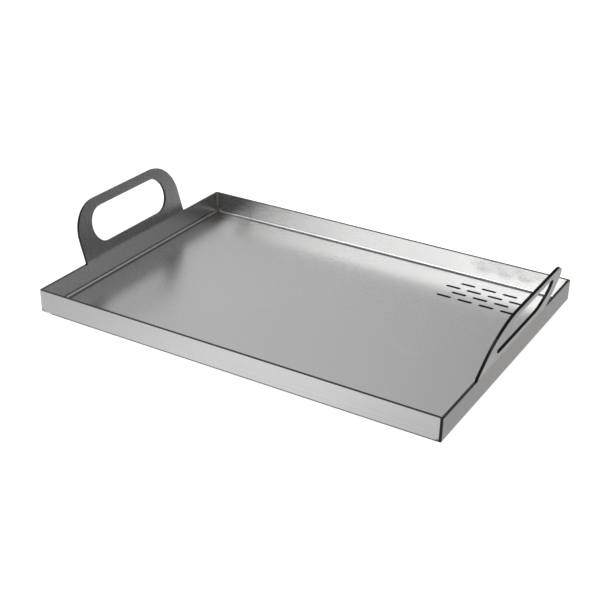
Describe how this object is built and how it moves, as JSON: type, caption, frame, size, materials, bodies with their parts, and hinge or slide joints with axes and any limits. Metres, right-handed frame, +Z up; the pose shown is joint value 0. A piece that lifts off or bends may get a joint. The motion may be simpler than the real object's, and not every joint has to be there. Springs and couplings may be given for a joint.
{
  "type": "flat top griddle",
  "caption": "Rectangular folded stainless griddle tray with low walls, a leaning slotted carrying handle at each end, drain slots in one corner and a welded bar lattice underneath.",
  "frame": {"origin": "middle of the plane that the support bars stand on, under the middle of the pan", "axes": "+X along the length towards the right-hand handle, +Y towards the back wall beside the drain slots, +Z up"},
  "size_m": [0.4922, 0.323, 0.1001],
  "materials": {
    "brushed_stainless": "fine brushed grain, dark laser-cut edges",
    "mill_finish_stainless": "dull mill finish",
    "weld_metal": "rippled, slightly heat tinted"
  },
  "bodies": {
    "root": {"griddle_pan": "brushed_stainless", "corner_weld_front_left": "weld_metal", "corner_weld_front_right": "weld_metal", "corner_weld_back_left": "weld_metal", "corner_weld_back_right": "weld_metal", "long_bar_front": "mill_finish_stainless", "long_bar_back": "mill_finish_stainless", "cross_bar_1": "mill_finish_stainless", "cross_bar_2": "mill_finish_stainless", "cross_bar_3": "mill_finish_stainless", "cross_bar_4": "mill_finish_stainless", "long_bar_tacks": "weld_metal", "cross_bar_tacks": "weld_metal"}
  },
  "joints": []
}
